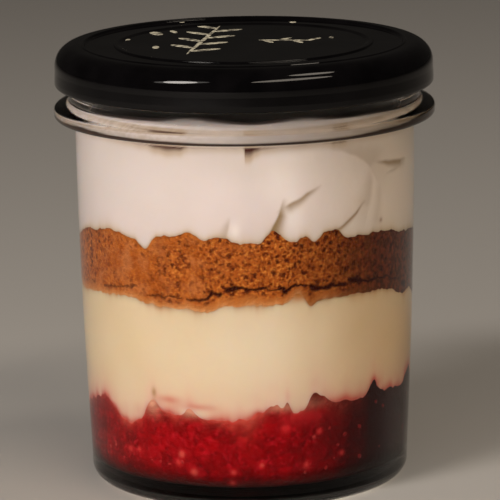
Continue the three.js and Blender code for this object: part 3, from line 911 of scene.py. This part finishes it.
def parting(angle, height):
    """The gap's painted shade, which fades downwards over most of its depth, and a paler painted shade on
    the thin cream round it.
    """
    wobble = 0.12 * waves(angle, 0, 1.8 * mm, 45)
    down_to = eased(angle, parted_down_to) + wobble
    over = height / mm - down_to
    before_ring = limited((parted_up_to - height / mm) / 0.3)
    gap = limited(over / (0.15 + 0.65 * (parted_up_to - down_to))) * before_ring
    thin = np.exp(-(np.minimum(over, 0) ** 2)) * limited((thin_up_to - height / mm) / 0.4)
    dark = eased(angle, parted_dark)
    return gap * dark, thin * (0.25 + 0.65 * dark)


def pressed_whip(angle, height):
    """The strokes' thickness at the glass, less the creases and the rounding of the upper edge."""
    under_top = cream_surface(angle) - height
    edge = limited(1 - under_top / mm) ** 2
    swell = 0.05 * mm * (1 + waves(angle, height, 10 * mm, 33))
    crease, _ = fold_marks(angle, height)
    hollows = 0.1 * mm * crease + mm * edge
    return into_wall + 0.15 * mm + swell - hollows


wavy_top_shares = (0.06, 0.15, 0.25, 0.35, 0.45, 0.55, 0.65, 0.75, 0.84, 0.91, 0.96)
whipped, angle, height, share = spooned(
    "whipped_cream_layer", just_under(sponge_surface), cream_surface, pressed_whip, 84, 900,
    cap_shares=wavy_top_shares,
)
on_side = share == 1
over_sponge = height - sponge_surface(angle)
under_top = cream_surface(angle) - height
crease, shade = fold_marks(angle, height)
gap, thin = parting(angle, height)
halo_reach = (0.6 + 0.5 * limited(waves(angle, 0, 6 * mm, 43))) * mm
lid_shade_reach = (0.55 + 0.35 * waves(angle, 0, 7 * mm, 48)) * mm
# Lobes with a painted highlight, each given as the patches are.
painted_lit_lobes = [(16.6, 65.8, 4, 4.2, 1), (-4, 63.4, 1.8, 2, 1), (13, 74, 8, 6, 0.75)]
keep(
    whipped,
    crease=crease * on_side,
    shade=shade * on_side,
    thin=thin * on_side,
    gap=gap * on_side,
    # Painted shade under the lid, along the top of the side and on the top near the glass.
    top_stain=limited(1.5 - under_top / lid_shade_reach) * on_side,
    stained_edge=limited((share - 0.6) / 0.25) * (share < 1) * (height > 80 * mm),
    bright_lobe=limited(patches(angle, height, painted_lit_lobes)),
    speck=patches(angle, height, [(53.6, 62.7, 0.8, 0.5, 1)]),
    soaked=limited(np.exp(-over_sponge / halo_reach)),
    far_side=shaded_side(angle),
)

tree = new_finish(whipped, "whipped_cream_surface", (0.77, 0.693, 0.676), 0.5, shine=0.1)
milky(tree, (1.0, 0.8, 0.6), 2.5 * mm)
coat(tree, [
    ((0.8, 0.715, 0.71), cloud(tree, 16 * mm, 1), 1),
    # Painted shade at the right, as a warm darker tint.
    ((0.86, 0.73, 0.58), "far_side", 0.6),
    # Painted highlight on the lit lobes.
    ((0.93, 0.85, 0.84), "bright_lobe", 0.95),
    ((0.6, 0.38, 0.16), "soaked", 0.7),
    # Painted shade beside the folds and in their creases.
    ((0.34, 0.23, 0.12), "shade", 1),
    ((0.3, 0.17, 0.07), "crease", 1),
    # Painted shade in the parted gaps and, paler, round them.
    ((0.5, 0.36, 0.22), "thin", 0.75),
    ((0.06, 0.008, 0.004), "gap", 1),
    ((0.3, 0.14, 0.06), "speck", 0.7),
    # Painted shade under the lid.
    ((0.045, 0.008, 0.004), "stained_edge", 0.9),
    ((0.05, 0.008, 0.005), "top_stain", 0.85),
])
bumped(tree, cloud(tree, 4 * mm, 2), 0.05 * mm)
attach(whipped, "root")
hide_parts("whipped_cream")

# Lid
# A pressed steel twist-off lid in glossy black lacquer. A low bead runs round its sunk panel, a round
# shoulder leads to the skirt, and the rolled hem is pressed inwards into six lugs.

lid_low, lid_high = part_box("lid")
total_height = lid_high.z
hem_height = lid_low.z
lid_radius = lid_high.x - 0.14 * mm
lid_wall = 0.95 * mm
lid_inner = lid_radius - lid_wall
ceiling = rim_height + 0.3 * mm
hem_radius = lid_radius + 0.1 * mm
hem_inner = lid_inner - 0.35 * mm
hem_rounding = 0.7 * mm
panel_height = total_height - 0.6 * mm
panel_radius = 35.5 * mm
bead_radius = 28.7 * mm
bead_top = panel_height + 0.35 * mm
shoulder_top = total_height - 0.2 * mm


def lug_reach(angle, height):
    """How far the hem is pressed in: by a smooth hump at each of six lugs, and only near the hem."""
    spacing, half_span, reach = 60, 8, 1.55 * mm
    away = np.minimum(angle % spacing, -angle % spacing)
    hump = limited(1 - (away / half_span) ** 4)
    tall = limited(1 - ((height - hem_height - 0.8 * mm) / (0.9 * mm)) ** 2)
    return reach * hump * tall


lid_outline = rounded([
    (near_axis, ceiling, 0),
    (lid_inner, ceiling, 3 * mm),
    (lid_inner, hem_height + 1.7 * mm, 0.2 * mm),
    (hem_inner, hem_height + 1.5 * mm, 0.2 * mm),
    (hem_inner, hem_height, hem_rounding),
    (hem_radius, hem_height, hem_rounding),
    (hem_radius, hem_height + 1.5 * mm, 3 * mm),
    (lid_radius, hem_height + 3.5 * mm, 3 * mm),
    (lid_radius, shoulder_top, 4.6 * mm),
    (panel_radius + 1.3 * mm, shoulder_top, 0.15 * mm),
    (panel_radius + 1.1 * mm, total_height, 0.25 * mm),
    (panel_radius + 0.6 * mm, total_height, 0.3 * mm),
    (panel_radius + 0.2 * mm, panel_height, 0.7 * mm),
    (bead_radius + 0.6 * mm, panel_height, 0.15 * mm),
    (bead_radius + 0.5 * mm, bead_top, 0.3 * mm),
    (bead_radius - 0.3 * mm, bead_top, 0.5 * mm),
    (bead_radius - 1.2 * mm, panel_height, 0.8 * mm),
    (near_axis, panel_height, 0),
], steps=10)
lid_angle = angles_round(240)
radius, height = lid_outline[:, :1], lid_outline[:, 1:]
on_hem_inside = (radius < lid_inner + 0.01 * mm) & (radius > mouth_radius) & (height < ceiling - 3.5 * mm)
radius = radius - np.where(on_hem_inside, lug_reach(lid_angle, height), 0)
lid = skin("twist_off_lid", around(lid_angle, radius, height), ceiling, panel_height)

tree = new_finish(lid, "black_lacquer", (0.002, 0.0017, 0.002), 0.22, shine=0.21)
coat(tree, [((0.004, 0.0035, 0.004), cloud(tree, 8 * mm, 4), 1)])
dullness = {"Value": cloud(tree, 3 * mm, 4), "To Min": 0.03, "To Max": 0.05}
set_shader(tree, {"Roughness": node(tree, "ShaderNodeMapRange", dullness)})
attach(lid, "root")
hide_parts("lid")

# Lid print
# A sprig, a smaller one and a few dots in off-white ink. They are screen printed on the lid's sunk panel in
# one thin coat.


def pointing(tilt):
    """The direction that is turned from pointing across by a tilt in degrees, as a complex number."""
    return np.exp(1j * np.radians(tilt))


def sprig(middle, length, lean, leaf, count):
    """A stem and its leaves, which leave it to the right and left in turn. Each shape has its middle, across
    plus i times away from the front, its length and its width in mm, and its tilt in degrees."""
    tilts = lean + 55 * np.where(np.arange(count) % 2, 1, -1)
    middles = middle + np.linspace(-0.4, 0.4, count) * length * pointing(lean) + 0.5 * leaf * pointing(tilts)
    return [(middle, length, 1, lean), *[(at, leaf, 0.27 * leaf, tilt) for at, tilt in zip(middles, tilts)]]


# The dots, each given as the sprigs' shapes are.
dots = [
    (-20 + 16j, 2.6, 6, 20), (-16 + 18j, 1.4, 4, 18), (-19.7 - 4.5j, 1.6, 3.4, 0),
    (-26.5 + 7.5j, 1.6, 2.4, 0), (20 + 6j, 1.1, 2.4, 0), (-14.5 + 33j, 1.8, 1.8, 0),
    (11.6 + 30j, 1.6, 1.8, 0),
]
large_sprig = sprig(-9 + 5.5j, length=42, lean=80, leaf=7.5, count=8)
small_sprig = sprig(9.6 + 3j, length=12.6, lean=-7, leaf=4.5, count=4)
middle, length, width, tilt = np.array([*large_sprig, *small_sprig, *dots]).T[..., None]
oval = pointing(angles_round(20))
oval = (length * oval.real + 1j * width * oval.imag) / 2 * pointing(tilt.real)
ink = 0.05 * mm


def print_ring(share, height):
    """The shapes' oval outlines, drawn in to a share of their size, at a height over the panel."""
    flat = (middle + oval * share) * mm
    return np.stack([flat.real, flat.imag, np.full(flat.shape, panel_height + height)], -1)


print_rings = np.stack([print_ring(1, -ink), print_ring(1, 0.4 * ink), print_ring(0.9, ink)], 1)
print_poles = np.concatenate([print_ring(0, -ink)[:, :1], print_ring(0, ink)[:, :1]], 1)
lid_print = skins("lid_print", print_rings, print_poles)
tree = new_finish(lid_print, "off_white_ink", (0.78, 0.73, 0.56), 0.5, shine=0.2)
coat(tree, [((0.12, 0.11, 0.09), cloud(tree, 1.3 * mm, 3, 0.42, 0.62), 1)])
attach(lid_print, "root")

# The set
# A plain pale floor, a soft light from the left with a weaker glow round it, a low one from the front, two
# narrow ones from the right that glint on the lid, and a camera that looks at the jar from a little above
# through a long lens.

half_floor = 4.0
floor_corners = [(x * half_floor, y * half_floor, 0) for x, y in ((-1, -1), (1, -1), (1, 1), (-1, 1))]
floor_mesh = bpy.data.meshes.new("floor")
floor_mesh.from_pydata(floor_corners, [], [(0, 1, 2, 3)])
floor = placed("floor", floor_mesh)
new_finish(floor, "pale_paper", (0.52, 0.5, 0.475), 0.8)

jar_middle = Vector((0, 0, 0.05))


def soft_light(name, turn, rise, distance, size, power, colour, roll=0, glints=True):
    """An oval soft light at an angle round the jar and above the floor, turned to face it and rolled in its
    own plane. None is seen through the glass, and one that doesn't glint isn't mirrored either."""
    light = bpy.data.lights.new(name, "AREA")
    light.shape = "ELLIPSE"
    light.size, light.size_y = size
    light.energy = power
    light.color = colour
    lamp = placed(name, light)
    lamp.visible_glossy = glints
    lamp.visible_transmission = False
    turn, rise, roll = np.radians(turn), np.radians(rise), np.radians(roll)
    away = Vector((np.sin(turn) * np.cos(rise), -np.cos(turn) * np.cos(rise), np.sin(rise)))
    lamp.location = jar_middle + distance * away
    faces_jar = away.to_track_quat("Z", "Y").to_matrix()
    lamp.rotation_euler = (faces_jar @ Matrix.Rotation(roll, 3, "Z")).to_euler()


soft_light("window_light", -44, 40, 1.15, (0.38, 0.22), 5.0, (1.0, 0.93, 0.86), roll=33)
soft_light("window_glow", -44, 40, 1.16, (0.64, 0.2), 1.2, (1.0, 0.93, 0.86), roll=33)
soft_light("low_light", -22, 14, 1.3, (1.0, 0.6), 4.1, (1.0, 0.95, 0.9), glints=False)
soft_light("far_light", 36, 50, 1.2, (0.92, 0.2), 3.7, (1.0, 0.88, 0.74))
soft_light("high_light", 80, 66, 1.2, (0.4, 0.2), 1.5, (1.0, 0.88, 0.74), roll=-35)
world = bpy.data.worlds.new("soft_room")
world.use_nodes = True
background = world.node_tree.nodes["Background"]
feed(world.node_tree, background.inputs, {"Color": (1.0, 0.9, 0.78), "Strength": 0.02})
bpy.context.scene.world = world
bpy.context.scene.view_settings.view_transform = "Standard"

camera_distance = 0.85
camera_height = 0.2321
look_down, look_right, lean = np.radians([11.99, 0.05, 0.9])
picture_width = 500
focal_length_in_pixels = 3807
camera = bpy.data.cameras.new("camera")
camera.sensor_width = 36
camera.lens = focal_length_in_pixels / picture_width * camera.sensor_width
viewpoint = placed("camera", camera)
turned = Matrix.Rotation(-look_right, 4, "Z") @ Matrix.Rotation(np.pi / 2 - look_down, 4, "X")
place = Matrix.Translation((0, -camera_distance, camera_height))
viewpoint.matrix_world = place @ turned @ Matrix.Rotation(-lean, 4, "Z")
bpy.context.scene.camera = viewpoint
